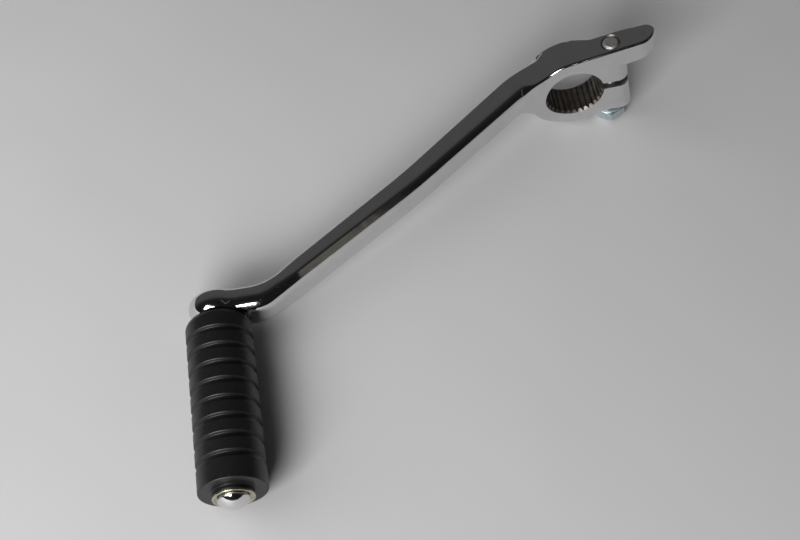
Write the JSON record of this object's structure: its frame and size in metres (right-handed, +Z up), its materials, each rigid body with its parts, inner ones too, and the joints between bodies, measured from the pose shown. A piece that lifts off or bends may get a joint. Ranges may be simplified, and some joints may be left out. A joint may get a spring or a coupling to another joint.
{
  "type": "kick start lever",
  "caption": "Cranked chromed kick start lever with a split serrated clamp hub, a pinch bolt and a fixed grooved rubber pedal.",
  "frame": {"origin": "on the axis of the serrated bore, half way along it", "axes": "+Y along the bore towards the engine, +X from the pedal towards the clamp ears, +Z up from the table the lever lies on"},
  "size_m": [0.195, 0.169, 0.047],
  "materials": {
    "chrome": "polished chrome plate on forged steel",
    "zinc_plate": "bright zinc plate",
    "yellow_plate": "yellow passivated zinc plate",
    "rubber": "black moulded rubber, slightly glossy"
  },
  "bodies": {
    "root": {"lever_arm": "chrome", "pedal_spindle": "chrome", "pinch_bolt": "zinc_plate", "spring_washer": "zinc_plate", "retaining_washer": "yellow_plate", "pedal_rubber": "rubber"}
  },
  "joints": []
}
